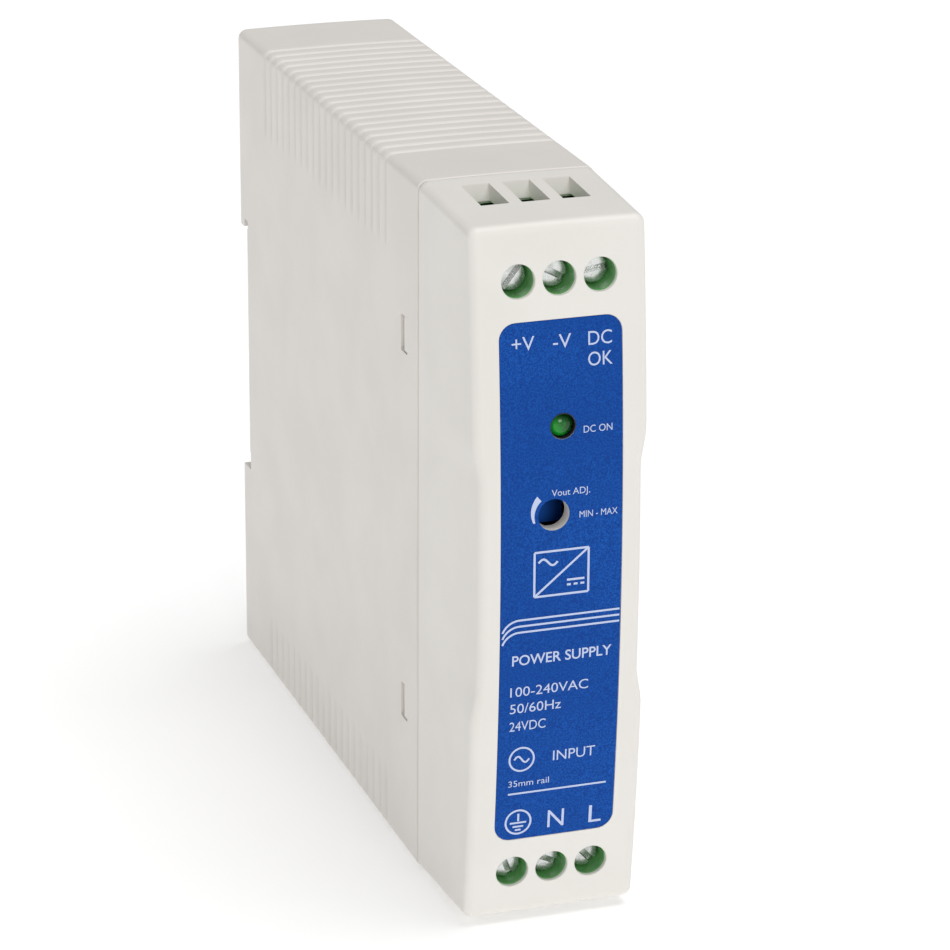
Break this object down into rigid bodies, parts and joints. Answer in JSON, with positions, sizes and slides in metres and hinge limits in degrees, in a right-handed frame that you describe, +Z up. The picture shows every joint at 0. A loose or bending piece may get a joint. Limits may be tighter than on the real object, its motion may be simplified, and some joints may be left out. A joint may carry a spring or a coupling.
{
  "type": "din rail power supply",
  "caption": "Slim plastic power supply that snaps onto a 35 mm top-hat rail, with screw terminals above and below, a voltage trimmer and a green indicator on its bowed front.",
  "frame": {"origin": "centre of the rail seat at the back, on the rail's centreline", "axes": "+Y points back into the rail, the front faces -Y, +Z is up, +X runs along the rail to the right seen from the front"},
  "size_m": [0.0226, 0.1001, 0.09],
  "materials": {
    "case_plastic": "light grey moulded plastic with a fine texture",
    "cover_plastic": "off-white moulded plastic with a fine texture",
    "label_film": "blue printed film with pale print",
    "insulation_film": "thin milky insulating film",
    "spring_steel": "drawn spring wire",
    "board_green": "green solder mask over glass fibre laminate",
    "gold_pin": "gold flashed pin",
    "black_plastic": "black moulded resin",
    "terminal_green": "green moulded polyamide",
    "plated_screw": "zinc plated steel with turned marks",
    "clamp_brass": "plated brass clamp",
    "contact_copper": "tinned copper contact, darkened",
    "lens_green": "diffused green lens",
    "tinned_lead": "tinned wire",
    "white_plastic": "white moulded plastic",
    "trimmer_blue": "blue moulded trimmer housing",
    "fuse_glass": "clear fuse glass",
    "dark_resin": "dark green dipped resin",
    "yellow_box": "yellow capacitor case",
    "ferrite": "dark grey sintered ferrite",
    "magnet_wire": "enamelled copper wire",
    "blue_resin": "blue dipped resin",
    "capacitor_sleeve": "dark shrink sleeve",
    "heatsink_metal": "plain rolled aluminium",
    "winding_tape": "yellow polyester tape",
    "red_resin": "red dipped resin",
    "resistor_tan": "tan resistor lacquer"
  },
  "bodies": {
    "housing": {"rear_case": "case_plastic", "front_cover": "cover_plastic", "front_label": "label_film", "insulation_sheet": "insulation_film", "clip_spring": "spring_steel", "front_board": "board_green", "main_board": "board_green", "board_link_pins": "gold_pin", "board_link_spacer": "black_plastic", "output_terminal_block": "terminal_green", "input_terminal_block": "terminal_green", "output_contacts": "contact_copper", "input_contacts": "contact_copper", "led_lens": "lens_green", "led_leads": "tinned_lead", "led_spacer": "white_plastic", "trimmer_body": "trimmer_blue", "trimmer_pins": "tinned_lead", "fuse_tube": "fuse_glass", "fuse_caps": "tinned_lead", "thermistor": "dark_resin", "x_capacitor": "yellow_box", "choke_core": "ferrite", "choke_windings": "magnet_wire", "y_capacitor": "blue_resin", "bridge_rectifier": "black_plastic", "bulk_capacitor": "capacitor_sleeve", "mosfet": "black_plastic", "mosfet_heatsink": "heatsink_metal", "heatsink_screws": "plated_screw", "transformer_core": "ferrite", "transformer_bobbin": "black_plastic", "transformer_winding": "winding_tape", "controller_chip": "black_plastic", "optocoupler": "black_plastic", "output_diode": "black_plastic", "diode_heatsink": "heatsink_metal", "output_capacitors": "capacitor_sleeve", "inductor_core": "ferrite", "inductor_winding": "magnet_wire", "film_capacitor": "red_resin", "resistors": "resistor_tan"},
    "clip": {"rail_clip": "case_plastic"},
    "trimmer": {"trimmer_rotor": "white_plastic"},
    "out_screw_1": {"output_screw_1": "plated_screw"},
    "out_screw_2": {"output_screw_2": "plated_screw"},
    "out_screw_3": {"output_screw_3": "plated_screw"},
    "in_screw_1": {"input_screw_1": "plated_screw"},
    "in_screw_2": {"input_screw_2": "plated_screw"},
    "in_screw_3": {"input_screw_3": "plated_screw"},
    "out_clamp_1": {"output_clamp_1": "clamp_brass"},
    "out_clamp_2": {"output_clamp_2": "clamp_brass"},
    "out_clamp_3": {"output_clamp_3": "clamp_brass"},
    "in_clamp_1": {"input_clamp_1": "clamp_brass"},
    "in_clamp_2": {"input_clamp_2": "clamp_brass"},
    "in_clamp_3": {"input_clamp_3": "clamp_brass"}
  },
  "joints": [
    {"name": "clip_slide", "type": "slide", "parent": "housing", "child": "clip", "axis": [0, 0, -1], "range_m": [0, 0.0028], "stiffness_N_per_m": 500, "springref_m": -0.004, "deforming": ["clip_spring"]},
    {"name": "trimmer_turn", "type": "hinge", "parent": "housing", "child": "trimmer", "pos_m": [-0.001, -0.0895, 0.00775], "axis": [0, -1, 0], "range_deg": [-130, 130]},
    {"name": "out_screw_1_turn", "type": "hinge", "parent": "housing", "child": "out_screw_1", "pos_m": [-0.00508, -0.0919, 0.03625], "axis": [0, 1, 0], "range_deg": [0, 2122]},
    {"name": "out_clamp_1_lift", "type": "slide", "parent": "housing", "child": "out_clamp_1", "axis": [0, -1, 0], "range_m": [0, 0.0026]},
    {"name": "out_screw_2_turn", "type": "hinge", "parent": "housing", "child": "out_screw_2", "pos_m": [0, -0.0919, 0.03625], "axis": [0, 1, 0], "range_deg": [0, 2122]},
    {"name": "out_clamp_2_lift", "type": "slide", "parent": "housing", "child": "out_clamp_2", "axis": [0, -1, 0], "range_m": [0, 0.0026]},
    {"name": "out_screw_3_turn", "type": "hinge", "parent": "housing", "child": "out_screw_3", "pos_m": [0.00508, -0.0919, 0.03625], "axis": [0, 1, 0], "range_deg": [0, 2122]},
    {"name": "out_clamp_3_lift", "type": "slide", "parent": "housing", "child": "out_clamp_3", "axis": [0, -1, 0], "range_m": [0, 0.0026]},
    {"name": "in_screw_1_turn", "type": "hinge", "parent": "housing", "child": "in_screw_1", "pos_m": [-0.00508, -0.0919, -0.0389], "axis": [0, 1, 0], "range_deg": [0, 2122]},
    {"name": "in_clamp_1_lift", "type": "slide", "parent": "housing", "child": "in_clamp_1", "axis": [0, -1, 0], "range_m": [0, 0.0026]},
    {"name": "in_screw_2_turn", "type": "hinge", "parent": "housing", "child": "in_screw_2", "pos_m": [0, -0.0919, -0.0389], "axis": [0, 1, 0], "range_deg": [0, 2122]},
    {"name": "in_clamp_2_lift", "type": "slide", "parent": "housing", "child": "in_clamp_2", "axis": [0, -1, 0], "range_m": [0, 0.0026]},
    {"name": "in_screw_3_turn", "type": "hinge", "parent": "housing", "child": "in_screw_3", "pos_m": [0.00508, -0.0919, -0.0389], "axis": [0, 1, 0], "range_deg": [0, 2122]},
    {"name": "in_clamp_3_lift", "type": "slide", "parent": "housing", "child": "in_clamp_3", "axis": [0, -1, 0], "range_m": [0, 0.0026]}
  ],
  "couplings": [
    {"joint": "out_screw_1_turn", "follows": "out_clamp_1_lift", "rad_per_m": 13963},
    {"joint": "out_screw_2_turn", "follows": "out_clamp_2_lift", "rad_per_m": 13963},
    {"joint": "out_screw_3_turn", "follows": "out_clamp_3_lift", "rad_per_m": 13963},
    {"joint": "in_screw_1_turn", "follows": "in_clamp_1_lift", "rad_per_m": 13963},
    {"joint": "in_screw_2_turn", "follows": "in_clamp_2_lift", "rad_per_m": 13963},
    {"joint": "in_screw_3_turn", "follows": "in_clamp_3_lift", "rad_per_m": 13963}
  ]
}
